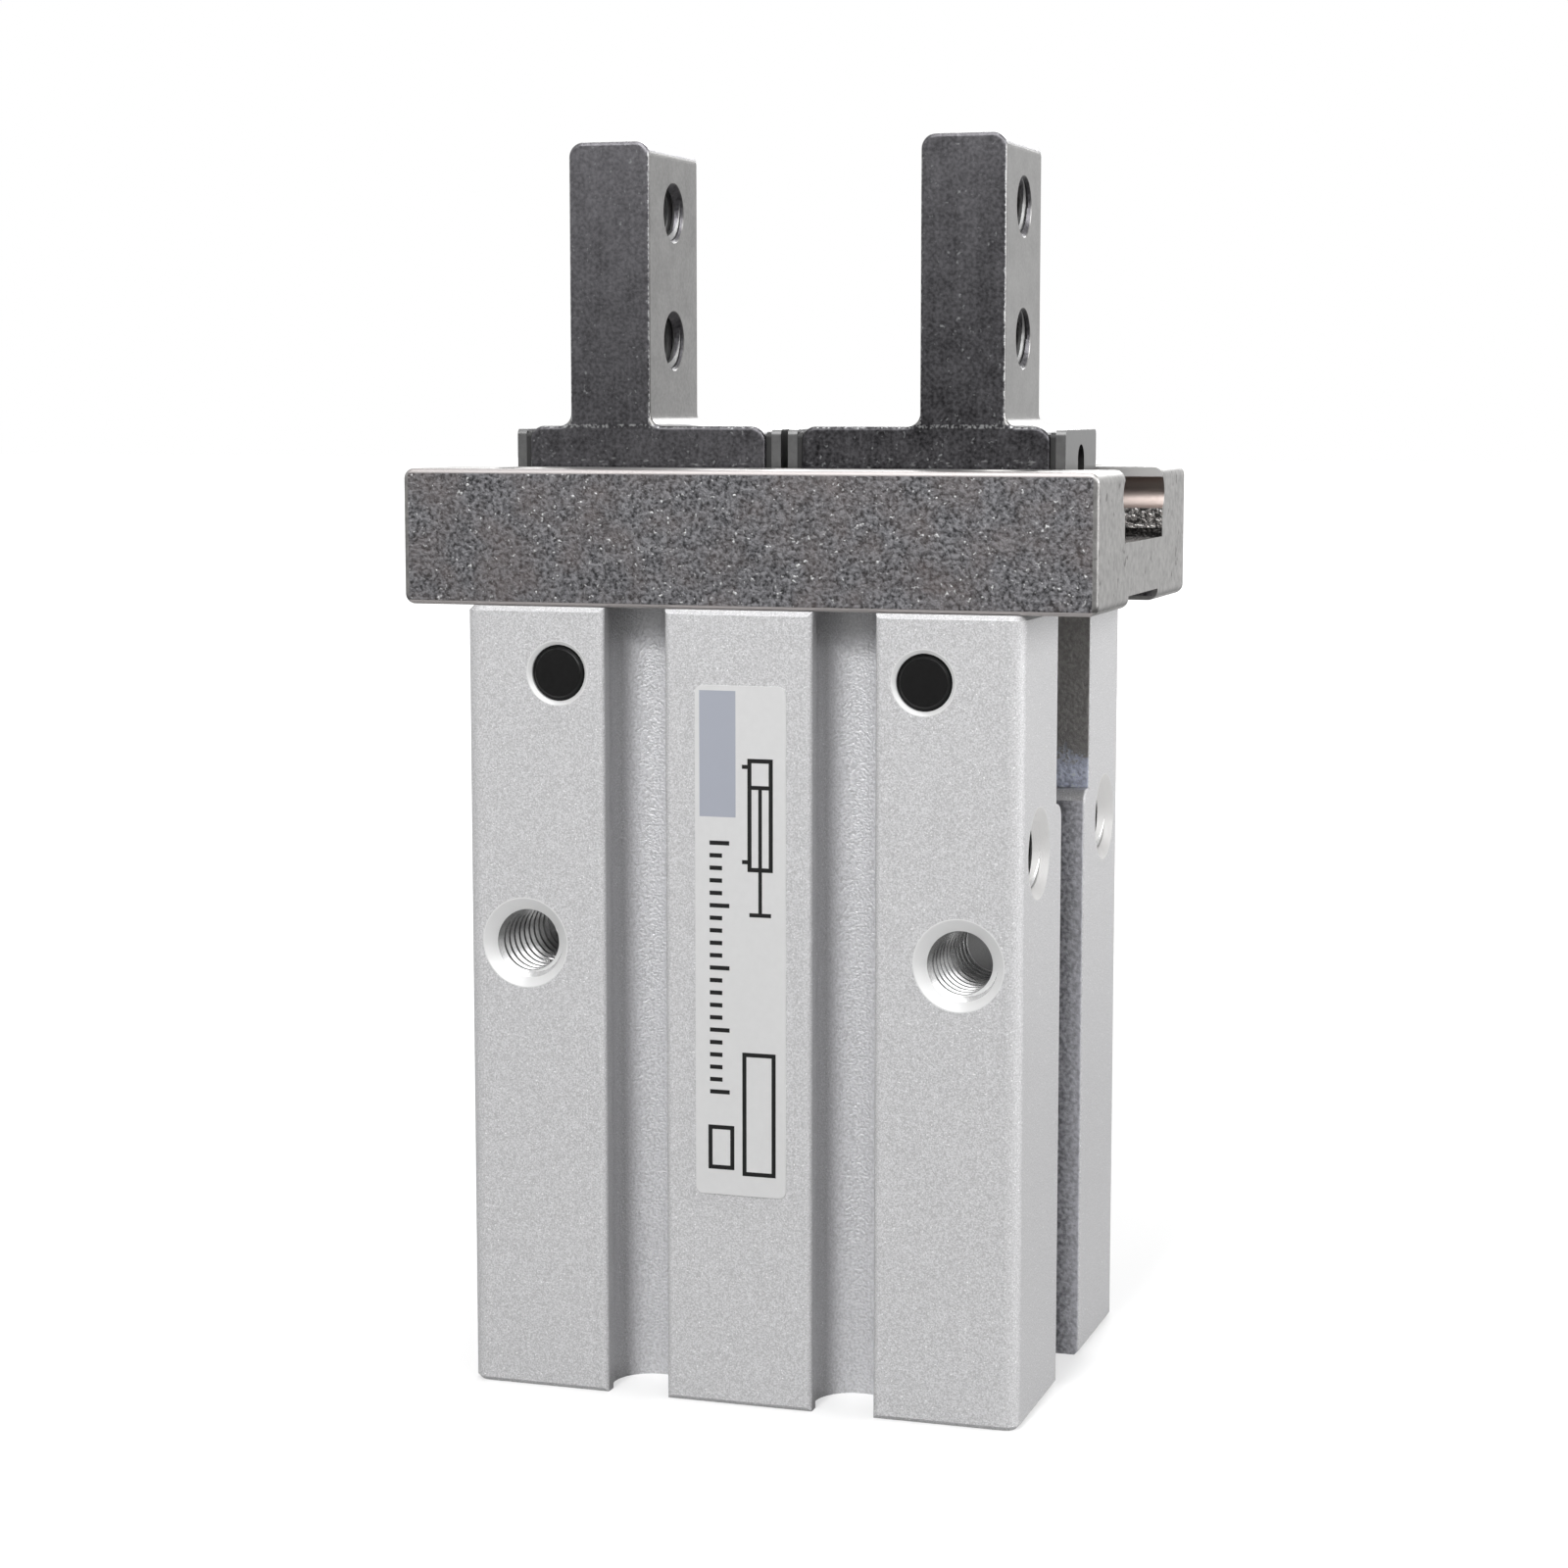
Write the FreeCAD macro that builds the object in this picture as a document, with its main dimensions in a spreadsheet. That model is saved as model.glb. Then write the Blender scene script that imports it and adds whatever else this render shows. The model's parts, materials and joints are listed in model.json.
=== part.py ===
# Pneumatic parallel gripper with two sliding fingers.
# X is the fingers' travel, -Y the labelled front, +Z points from the base to the finger tips.
# The origin is the middle of the base, and the fingers stand closed.
import FreeCAD, Part
import os
import re
from FreeCAD import Placement, Rotation, Vector

driving_sizes = [
    # Body block
    ("body_width", 30.6),
    ("body_depth", 23.6),
    ("body_height", 42.5),
    ("body_corner", 0.8),
    ("body_edge", 0.25),
    ("lever_slot_width", 8.0),
    ("lever_slot_depth", 10.5),
    ("side_slot_width", 5.6),
    ("side_slot_depth", 2.0),
    ("side_slot_round", 0.8),
    ("sensor_slot_pitch", 11.5),
    ("sensor_slot_mouth", 3.4),
    ("sensor_slot_bore", 4.1),
    ("sensor_slot_inset", 2.05),
    ("sensor_slot_edge", 0.35),
    ("side_slot_edge", 0.15),
    # Threaded holes of the body
    ("mount_thread", 4.0),
    ("mount_chamfer", 0.4),
    ("drill_tip", 1.2),
    ("front_hole_pitch", 24.0),
    ("front_hole_height", 24.45),
    ("side_hole_pitch", 16.0),
    ("side_hole_height", 29.95),
    ("side_hole_depth", 6.0),
    ("base_hole_pitch_x", 22.0),
    ("base_hole_pitch_y", 16.0),
    ("base_hole_depth", 8.0),
    ("port_thread", 5.0),
    ("port_depth", 3.0),
    ("port_passage", 1.5),
    ("port_chamfer", 0.3),
    ("lower_port_height", 7.85),
    ("upper_port_height", 20.2),
    # Bore, cap and seals
    ("piston_bore", 16.0),
    ("piston_bore_top", 21.4),
    ("cap_bore", 17.0),
    ("cap_bore_depth", 7.0),
    ("pilot_depth", 1.6),
    ("snap_ring_thickness", 1.0),
    ("snap_ring_width", 1.5),
    ("snap_ring_bite", 0.45),
    ("snap_ring_gap", 5.0),
    ("cap_oring_section", 1.4),
    ("cap_bumper_diameter", 10.0),
    ("cap_bumper_hole", 6.0),
    ("cap_bumper_height", 1.5),
    ("rod_seal_diameter", 11.8),
    ("rod_seal_height", 2.2),
    ("seal_retainer_height", 0.8),
    # Piston
    ("rod_diameter", 8.0),
    ("rod_web", 3.2),
    ("rod_lip", 1.3),
    ("piston_length", 9.0),
    ("piston_land", 1.2),
    ("piston_seal_width", 2.2),
    ("piston_seal_depth", 1.9),
    ("piston_magnet_width", 2.5),
    ("piston_magnet_depth", 1.5),
    ("piston_bumper_diameter", 12.0),
    ("piston_bumper_height", 1.2),
    # Levers and shafts
    ("lever_shaft_pitch", 20.1),
    ("lever_shaft_height", 7.0),
    ("lever_shaft_diameter", 3.0),
    ("shaft_chamfer", 0.25),
    ("shaft_hole_chamfer", 0.2),
    ("shaft_recess", 0.1),
    ("lever_rise", 8.8),
    ("lever_reach", 7.05),
    ("lever_droop", 6.0),
    ("lever_boss", 5.5),
    ("lever_arm", 2.0),
    ("lever_arm_width", 5.0),
    ("lever_tip", 2.8),
    ("lever_nose", 2.4),
    # Guide and its balls
    ("guide_length", 38.0),
    ("guide_depth", 22.8),
    ("guide_height", 7.25),
    ("guide_round", 0.55),
    ("guide_edge", 0.25),
    ("channel_width", 10.0),
    ("channel_depth", 3.8),
    ("guide_recess_width", 7.8),
    ("guide_recess_depth", 0.65),
    ("ball_diameter", 1.9),
    ("ball_spacing", 1.98),
    ("ball_count", 6),
    ("ball_row_drop", 1.4),
    ("guide_screw_wall", 0.35),
    ("guide_screw_pitch_y", 16.4),
    ("guide_screw_thread", 2.0),
    ("guide_screw_head", 3.8),
    ("guide_screw_head_height", 2.0),
    ("guide_screw_key", 1.5),
    ("guide_screw_key_depth", 1.0),
    ("guide_screw_sunk", 0.4),
    ("guide_screw_bite", 6.0),
    ("dowel_pitch", 16.8),
    ("dowel_diameter", 2.0),
    ("dowel_bite", 5.0),
    ("dowel_sunk", 0.3),
    # Fingers and their end plates
    ("finger_travel", 3.0),
    ("finger_width", 8.0),
    ("finger_thickness", 4.66),
    ("finger_rise", 17.55),
    ("finger_setback", 6.59),
    ("finger_round", 0.8),
    ("finger_edge", 0.22),
    ("foot_length", 13.66),
    ("foot_rise", 2.22),
    ("foot_corner", 0.8),
    ("root_round", 0.7),
    ("finger_thread", 3.0),
    ("finger_chamfer", 0.15),
    ("finger_hole_low", 6.9),
    ("finger_hole_pitch", 7.0),
    ("plate_thickness", 0.53),
    ("plate_width", 7.4),
    ("plate_drop", 0.17),
    ("plate_corner", 0.3),
    ("scraper_thickness", 0.3),
    ("scraper_drop", 0.3),
    ("plate_pin", 1.2),
    ("plate_pin_pitch", 4.4),
    ("plate_pin_height", 1.4),
    ("plate_pin_bite", 2.0),
    ("grease_hole", 1.5),
    ("grease_hole_drop", 1.7),
    ("grease_hole_depth", 4.0),
    ("centre_gap", 0.4),
    # Label
    ("label_width", 5.0),
    ("label_height", 27.1),
    ("label_low", 11.5),
    ("label_offset", 0.2),
    ("label_thickness", 0.08),
    ("label_corner", 0.4),
    # Fits, each a gap on one side
    ("slip_fit", 0.03),
    ("running_fit", 0.05),
    ("slider_gap", 0.25),
    ("lever_gap", 0.2),
    ("window_gap", 0.5),
    ("tip_gap", 0.1),
]

doc = FreeCAD.newDocument("parallel_gripper")
sheet = doc.addObject("Spreadsheet::Sheet", "sizes")
for row, (alias, number) in enumerate(driving_sizes, start=1):
    sheet.set("A%d" % row, alias)
    sheet.set("B%d" % row, str(number))
    sheet.setAlias("B%d" % row, alias)
doc.recompute()

aliases = {alias for alias, number in driving_sizes}
nodes = []

# Heights that several pieces share
slot_floor = "(body_height - lever_slot_depth)"
shaft_level = "(%s + lever_shaft_height)" % slot_floor
guide_top = "(body_height + guide_height)"
channel_floor = "(body_height + guide_height - channel_depth)"
ball_row_height = "(body_height + guide_height - ball_row_drop)"
ball_row_offset = "((channel_width + finger_width) / 4)"
raceway_radius = "(ball_diameter / 2 + slip_fit)"
foot_bottom = "(body_height + guide_height - channel_depth + slider_gap)"
foot_top = "(body_height + guide_height + foot_rise)"
finger_top = "(body_height + guide_height + finger_rise)"
cap_low = "(pilot_depth + snap_ring_thickness)"
bumper_top = "(cap_bore_depth + cap_bumper_height)"
rod_seal_top = "(piston_bore_top + seal_retainer_height + rod_seal_height)"

# Places along the travel, for the closed right finger
plate_inner = "(centre_gap / 2)"
scraper_inner = "(centre_gap / 2 + plate_thickness)"
foot_inner = "(%s + scraper_thickness)" % scraper_inner
foot_outer = "(%s + foot_length)" % foot_inner
scraper_outer = "(%s + scraper_thickness)" % foot_outer
plate_outer = "(%s + plate_thickness)" % scraper_outer
finger_inner = "(%s + finger_setback)" % foot_inner
finger_outer = "(%s + finger_thickness)" % finger_inner
pocket_middle = "(lever_shaft_pitch / 2 - finger_travel / 2)"
guide_screw_pitch = "(lever_shaft_pitch + lever_shaft_diameter + guide_screw_thread + 2 * guide_screw_wall)"

# The levers swing equally to both sides of upright, and the piston follows their noses
lever_swing = "asin(finger_travel / 2 / lever_rise)"
nose_angle = "(lever_droop * 1 deg + %s)" % lever_swing
nose_height = "(%s - lever_reach * sin%s)" % (shaft_level, nose_angle)
nose_room = "(lever_nose / 2 + tip_gap)"
rod_top = "(%s + %s + rod_lip)" % (nose_height, nose_room)
piston_low = "(%s + running_fit)" % bumper_top

turns = {
    "+x": Rotation(Vector(0, 1, 0), 90),
    "-x": Rotation(Vector(0, 1, 0), -90),
    "+y": Rotation(Vector(1, 0, 0), -90),
    "-y": Rotation(Vector(1, 0, 0), 90),
    "+z": Rotation(),
    "-z": Rotation(Vector(1, 0, 0), 180),
}
half_turn = Rotation(Vector(0, 0, 1), 180)
sides = {"right": Rotation(), "left": half_turn}


def sheet_name(word):
    return "sizes." + word if word in aliases else word


def bind(item, target, text):
    formula = re.sub("[a-z_]+", lambda word: sheet_name(word[0]), text)
    item.setExpression(target, formula)


def put(item, place, turn="+z"):
    item.Placement = Placement(Vector(), turns[turn])
    for axis, text in zip("xyz", place):
        bind(item, ".Placement.Base." + axis, text)


def across(width):
    return "-(%s) / 2" % width, "(%s) / 2" % width


def new_body(label, turn=Rotation()):
    body = doc.addObject("PartDesign::Body", label)
    body.Label = label
    body.Placement = Placement(Vector(), turn)
    return body


def new_item(owner, kind, form, name):
    if kind == "Cutter":
        item = doc.addObject("Part::" + form, name)
        owner.append(item)
        return item
    return owner.newObject("PartDesign::" + kind + form, name)


def block(owner, kind, name, x_span, y_span, z_span):
    item = new_item(owner, kind, "Box", name)
    spans = (x_span, y_span, z_span)
    for side, (low, high) in zip(("Length", "Width", "Height"), spans):
        bind(item, side, "(%s) - (%s)" % (high, low))
    put(item, [low for low, high in spans])
    return item


def drum(owner, kind, name, diameter, length, place, turn="+z"):
    item = new_item(owner, kind, "Cylinder", name)
    bind(item, "Radius", "(%s) / 2" % diameter)
    bind(item, "Height", length)
    put(item, place, turn)
    return item


def mouth_chamfer(owner, kind, name, diameter, chamfer, place, turn):
    item = new_item(owner, kind, "Cone", name)
    bind(item, "Radius1", "(%s) / 2 + %s" % (diameter, chamfer))
    bind(item, "Radius2", "(%s) / 2" % diameter)
    bind(item, "Height", chamfer)
    put(item, place, turn)
    return item


def blind_hole(owner, kind, name, diameter, chamfer, depth, place, turn):
    drum(owner, kind, name, diameter, depth, place, turn)
    return mouth_chamfer(owner, kind, name + "_mouth", diameter, chamfer, place, turn)


def drilled_hole(cutters, name, depth, place, turn):
    blind_hole(cutters, "Cutter", name, "mount_thread", "mount_chamfer", depth, place, turn)
    tip = new_item(cutters, "Cutter", "Cone", name + "_tip")
    tip.Radius2 = 0
    bind(tip, "Radius1", "mount_thread / 2")
    bind(tip, "Height", "drill_tip")
    sign, axis = turn
    floor = ["%s %s %s" % (at, sign, depth) if letter == axis else at for letter, at in zip("xyz", place)]
    put(tip, floor, turn)


def edges_where(feature, test):
    doc.recompute()
    numbered = enumerate(feature.Shape.Edges, start=1)
    return ["Edge%d" % number for number, edge in numbered if test(edge.BoundBox)]


def round_edges(body, name, feature, radius, test):
    item = body.newObject("PartDesign::Fillet", name)
    item.Base = (feature, edges_where(feature, test))
    bind(item, "Radius", radius)
    return item


def bevel_edges(body, name, feature, size, test):
    item = body.newObject("PartDesign::Chamfer", name)
    item.Base = (feature, edges_where(feature, test))
    bind(item, "Size", size)
    return item


def size(alias):
    return float(sheet.get(alias))


def near(first, second):
    return abs(first - second) < 0.001


def runs_along(box, axis):
    lengths = {"x": box.XLength, "y": box.YLength, "z": box.ZLength}
    return all(length < 0.001 for other, length in lengths.items() if other != axis)


def group(label, pieces):
    compound = doc.addObject("Part::Compound", label)
    compound.Label = label
    compound.Links = pieces
    nodes.append(compound)


def make_body():
    blank = new_body("body_blank")
    depth = size("body_depth") / 2
    width = size("body_width") / 2
    height = size("body_height")
    stock = block(blank, "Additive", "stock", across("body_width"), across("body_depth"),
                  ("0", "body_height"))
    corners = round_edges(blank, "corners", stock, "body_corner", lambda box: runs_along(box, "z"))
    bevel_edges(blank, "rims", corners, "body_edge", lambda box: box.ZLength < 0.001)
    block(blank, "Subtractive", "lever_slot", across("body_width"), across("lever_slot_width"),
          (slot_floor, "body_height"))
    for side, sign in (("right", ""), ("left", "-")):
        span = (sign + "(body_width / 2 - side_slot_depth)", sign + "(body_width / 2)")
        span = span if side == "right" else span[::-1]
        slot = block(blank, "Subtractive", side + "_slot", span, across("side_slot_width"), ("0", slot_floor))
    step = size("side_slot_width") / 2
    steps = round_edges(blank, "slot_steps", slot, "side_slot_round", lambda box: runs_along(box, "x")
                        and near(box.ZMin, height - size("lever_slot_depth")) and near(abs(box.YMin), step))
    for row, sign in (("front", "-"), ("rear", "")):
        middle = sign + "(body_depth / 2 - sensor_slot_inset)"
        span = (middle, sign + "(body_depth / 2)")
        span = span if row == "rear" else span[::-1]
        for place_x in across("sensor_slot_pitch"):
            mouth = ("%s - sensor_slot_mouth / 2" % place_x, "%s + sensor_slot_mouth / 2" % place_x)
            block(blank, "Subtractive", row + "_mouth", mouth, span, ("0", "body_height"))
            steps = drum(blank, "Subtractive", row + "_bore", "sensor_slot_bore", "body_height",
                         (place_x, middle, "0"))
    sensor_edges = round_edges(blank, "sensor_edges", steps, "sensor_slot_edge", lambda box: runs_along(box, "z")
                               and near(abs(box.YMin), depth)
                               and not near(abs(box.XMin), width - size("body_corner")))
    round_edges(blank, "side_edges", sensor_edges, "side_slot_edge", lambda box: runs_along(box, "z")
                and near(abs(box.XMin), width) and not near(abs(box.YMin), depth - size("body_corner")))

    holes = doc.addObject("Part::MultiFuse", "body_holes")
    holes.Shapes = thread_holes() + bore_holes() + guide_seat_holes()
    body = doc.addObject("Part::Cut", "body")
    body.Label = "body"
    body.Base = blank
    body.Tool = holes
    nodes.append(body)


def thread_holes():
    cutters = []
    for place_x, turn in zip(across("body_width"), ("+x", "-x")):
        for place_y in across("side_hole_pitch"):
            drilled_hole(cutters, "side_hole", "side_hole_depth", (place_x, place_y, "side_hole_height"), turn)
    for place_x in across("front_hole_pitch"):
        through_hole(cutters, "front_hole", "mount_thread", "mount_chamfer", place_x, "front_hole_height")
    for place_x in across("lever_shaft_pitch"):
        through_hole(cutters, "shaft_hole", "lever_shaft_diameter", "shaft_hole_chamfer", place_x, shaft_level)
    for place_x in across("base_hole_pitch_x"):
        for place_y in across("base_hole_pitch_y"):
            drilled_hole(cutters, "base_hole", "base_hole_depth", (place_x, place_y, "0"), "+z")
    return cutters


def through_hole(cutters, name, diameter, chamfer, place_x, place_z):
    drum(cutters, "Cutter", name, diameter, "body_depth", (place_x, "-body_depth / 2", place_z), "+y")
    for place_y, turn in zip(across("body_depth"), ("+y", "-y")):
        mouth_chamfer(cutters, "Cutter", name + "_mouth", diameter, chamfer,
                      (place_x, place_y, place_z), turn)


def bore_holes():
    cutters = []
    blind_hole(cutters, "Cutter", "cap_seat", "cap_bore", "body_edge", "cap_bore_depth",
               ("0", "0", "0"), "+z")
    drum(cutters, "Cutter", "ring_groove", "cap_bore + 2 * snap_ring_bite", "snap_ring_thickness",
         ("0", "0", "pilot_depth"))
    drum(cutters, "Cutter", "cylinder", "piston_bore", "piston_bore_top - cap_bore_depth",
         ("0", "0", "cap_bore_depth"))
    drum(cutters, "Cutter", "seal_seat", "rod_seal_diameter", "%s - piston_bore_top" % rod_seal_top,
         ("0", "0", "piston_bore_top"))
    drum(cutters, "Cutter", "rod_hole", "rod_diameter + 2 * running_fit", "body_height - piston_bore_top",
         ("0", "0", "piston_bore_top"))
    for port in ("lower_port", "upper_port"):
        place = ("0", "body_depth / 2", port + "_height")
        blind_hole(cutters, "Cutter", port, "port_thread", "port_chamfer", "port_depth", place, "-y")
        drum(cutters, "Cutter", port + "_passage", "port_passage", "body_depth / 2", place, "-y")
    return cutters


def guide_seat_holes():
    cutters = []
    for place_x in across(guide_screw_pitch):
        for place_y in across("guide_screw_pitch_y"):
            drum(cutters, "Cutter", "screw_hole", "guide_screw_thread", "guide_screw_bite",
                 (place_x, place_y, "body_height"), "-z")
    for place_y in across("dowel_pitch"):
        drum(cutters, "Cutter", "dowel_hole", "dowel_diameter", "dowel_bite",
             ("0", place_y, "body_height"), "-z")
    return cutters


def make_guide():
    body = new_body("guide")
    half_length = size("guide_length") / 2
    half_depth = size("guide_depth") / 2
    stock = block(body, "Additive", "rail", across("guide_length"), across("guide_depth"),
                  ("body_height", guide_top))
    ends = round_edges(body, "ends", stock, "guide_round", lambda box: runs_along(box, "y")
                       and near(abs(box.XMin), half_length))
    round_edges(body, "long_edges", ends, "guide_edge", lambda box: near(abs(box.YMin), half_depth)
                and near(box.YMin, box.YMax))
    block(body, "Subtractive", "channel", across("guide_length"), across("channel_width"),
          (channel_floor, guide_top))
    for place_y in across("2 * " + ball_row_offset):
        drum(body, "Subtractive", "raceway", "2 * " + raceway_radius, "guide_length",
             ("-guide_length / 2", place_y, ball_row_height), "+x")
    block(body, "Subtractive", "recess", across("guide_length"), across("guide_recess_width"),
          ("body_height", "body_height + guide_recess_depth"))
    window_half = "(finger_travel / 2 + lever_tip / 2 + window_gap)"
    for place_x in across("lever_shaft_pitch"):
        window = ("%s - %s" % (place_x, window_half), "%s + %s" % (place_x, window_half))
        block(body, "Subtractive", "window", window, across("lever_arm_width + 2 * lever_gap"),
              ("body_height", channel_floor))
    head_seat = "guide_screw_head_height + guide_screw_sunk"
    for place_x in across(guide_screw_pitch):
        for place_y in across("guide_screw_pitch_y"):
            drum(body, "Subtractive", "screw_hole", "guide_screw_thread + 2 * running_fit", "guide_height",
                 (place_x, place_y, "body_height"))
            blind_hole(body, "Subtractive", "head_seat", "guide_screw_head + 2 * running_fit", "guide_edge",
                       head_seat, (place_x, place_y, guide_top), "-z")
    for place_y in across("dowel_pitch"):
        drum(body, "Subtractive", "dowel_hole", "dowel_diameter", "guide_height",
             ("0", place_y, "body_height"))
    nodes.append(body)


def make_guide_fasteners():
    head_low = "(%s - guide_screw_sunk - guide_screw_head_height)" % guide_top
    tip = "(body_height - guide_screw_bite)"
    screws = []
    for place_x in across(guide_screw_pitch):
        for place_y in across("guide_screw_pitch_y"):
            screw = new_body("guide_screw")
            drum(screw, "Additive", "shank", "guide_screw_thread", "%s - %s" % (head_low, tip),
                 (place_x, place_y, tip))
            drum(screw, "Additive", "head", "guide_screw_head", "guide_screw_head_height",
                 (place_x, place_y, head_low))
            key = screw.newObject("PartDesign::SubtractivePrism", "key")
            key.Polygon = 6
            bind(key, "Circumradius", "guide_screw_key / sqrt(3)")
            bind(key, "Height", "guide_screw_key_depth")
            put(key, (place_x, place_y, "%s - guide_screw_sunk" % guide_top), "-z")
            screws.append(screw)
    group("guide_screws", screws)

    dowels = []
    for place_y in across("dowel_pitch"):
        dowel = new_body("guide_dowel")
        drum(dowel, "Additive", "pin", "dowel_diameter", "dowel_bite + guide_height - dowel_sunk",
             ("0", place_y, "body_height - dowel_bite"))
        dowels.append(dowel)
    group("guide_dowels", dowels)


def make_finger(side, turn):
    body = new_body(side + "_finger", turn)
    y_span = across("finger_width")
    top = size("body_height") + size("guide_height") + size("foot_rise")
    tip = size("body_height") + size("guide_height") + size("finger_rise")
    bottom = size("body_height") + size("guide_height") - size("channel_depth") + size("slider_gap")
    foot_start = size("centre_gap") / 2 + size("plate_thickness") + size("scraper_thickness")
    foot_ends = (foot_start, foot_start + size("foot_length"))
    blade_start = foot_start + size("finger_setback")
    blade_sides = (blade_start, blade_start + size("finger_thickness"))
    half_width = size("finger_width") / 2

    block(body, "Additive", "foot", (foot_inner, foot_outer), y_span, (foot_bottom, foot_top))
    blade = block(body, "Additive", "blade", (finger_inner, finger_outer), y_span, (foot_top, finger_top))
    roots = round_edges(body, "roots", blade, "root_round", lambda box: runs_along(box, "y")
                        and near(box.ZMin, top) and any(near(box.XMin, place) for place in blade_sides))
    shoulders = round_edges(body, "shoulders", roots, "foot_corner", lambda box: runs_along(box, "y")
                            and near(box.ZMin, top) and any(near(box.XMin, place) for place in foot_ends))
    tips = round_edges(body, "tips", shoulders, "finger_round", lambda box: runs_along(box, "y")
                       and near(box.ZMin, tip))
    round_edges(body, "outline", tips, "finger_edge", lambda box: near(abs(box.YMin), half_width)
                and near(box.YMin, box.YMax) and not near(box.ZMax, bottom))

    for place_y in across("2 * " + ball_row_offset):
        drum(body, "Subtractive", "raceway", "2 * " + raceway_radius, "foot_length",
             (foot_inner, place_y, ball_row_height), "+x")
    pocket_half = "(lever_tip / 2 + tip_gap)"
    pocket_span = ("%s - %s" % (pocket_middle, pocket_half), "%s + %s" % (pocket_middle, pocket_half))
    pocket_roof = "(%s + lever_rise + lever_tip / 2 + slider_gap)" % shaft_level
    block(body, "Subtractive", "pocket", pocket_span, across("lever_arm_width + 2 * lever_gap"),
          (foot_bottom, pocket_roof))
    for height in ("finger_hole_low", "finger_hole_low + finger_hole_pitch"):
        place_z = "%s + %s" % (guide_top, height)
        drum(body, "Subtractive", "jaw_hole", "finger_thread", "finger_thickness",
             (finger_inner, "0", place_z), "+x")
        for place_x, direction in ((finger_inner, "+x"), (finger_outer, "-x")):
            mouth_chamfer(body, "Subtractive", "jaw_hole_mouth", "finger_thread", "finger_chamfer",
                          (place_x, "0", place_z), direction)
    for place_x, direction in ((foot_inner, "+x"), (foot_outer, "-x")):
        drum(body, "Subtractive", "grease_hole", "grease_hole", "grease_hole_depth",
             (place_x, "0", "%s - grease_hole_drop" % foot_top), direction)
        for place_y in across("plate_pin_pitch"):
            drum(body, "Subtractive", "pin_hole", "plate_pin", "plate_pin_bite",
                 (place_x, place_y, "%s + plate_pin_height" % foot_bottom), direction)
    nodes.append(body)


def end_sheet(label, turn, span, drop):
    low, high = span
    thickness = "(%s) - (%s)" % (high, low)
    body = new_body(label, turn)
    sheet = block(body, "Additive", "sheet", span, across("plate_width"), (foot_bottom, "%s - %s" % (foot_top, drop)))
    top = size("body_height") + size("guide_height") + size("foot_rise") - size(drop)
    round_edges(body, "corners", sheet, "plate_corner", lambda box: runs_along(box, "x")
                and near(box.ZMin, top))
    grease_height = "%s - grease_hole_drop" % foot_top
    drum(body, "Subtractive", "grease_hole", "grease_hole", thickness, (low, "0", grease_height), "+x")
    block(body, "Subtractive", "grease_slot", span, across("grease_hole"),
          ("%s + 2 * plate_pin_height" % foot_bottom, grease_height))
    for place_y in across("plate_pin_pitch"):
        drum(body, "Subtractive", "pin_hole", "plate_pin", thickness,
             (low, place_y, "%s + plate_pin_height" % foot_bottom), "+x")
    return body


def make_end_plates(side, turn):
    scrapers = []
    pins = []
    ends = {
        "outer": ((scraper_outer, plate_outer), (foot_outer, scraper_outer), plate_outer, "-x"),
        "inner": ((plate_inner, scraper_inner), (scraper_inner, foot_inner), plate_inner, "+x"),
    }
    for end, (plate_span, scraper_span, outside, direction) in ends.items():
        nodes.append(end_sheet("%s_%s_plate" % (side, end), turn, plate_span, "plate_drop"))
        scrapers.append(end_sheet("scraper", turn, scraper_span, "scraper_drop"))
        for place_y in across("plate_pin_pitch"):
            pin = new_body("plate_pin", turn)
            drum(pin, "Additive", "pin", "plate_pin", "plate_thickness + scraper_thickness + plate_pin_bite",
                 (outside, place_y, "%s + plate_pin_height" % foot_bottom), direction)
            pins.append(pin)
    group(side + "_scrapers", scrapers)
    group(side + "_plate_pins", pins)


def make_balls(side, turn):
    count = int(size("ball_count"))
    balls = []
    for place_y in across("2 * " + ball_row_offset):
        for number in range(count):
            ball = new_body("ball", turn)
            sphere = ball.newObject("PartDesign::AdditiveSphere", "sphere")
            bind(sphere, "Radius", "ball_diameter / 2")
            step = "%g * ball_spacing" % (number - (count - 1) / 2)
            place_x = "(%s + %s) / 2 + finger_travel / 4 + %s" % (foot_inner, foot_outer, step)
            put(sphere, (place_x, place_y, ball_row_height))
            balls.append(ball)
    group(side + "_balls", balls)


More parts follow.
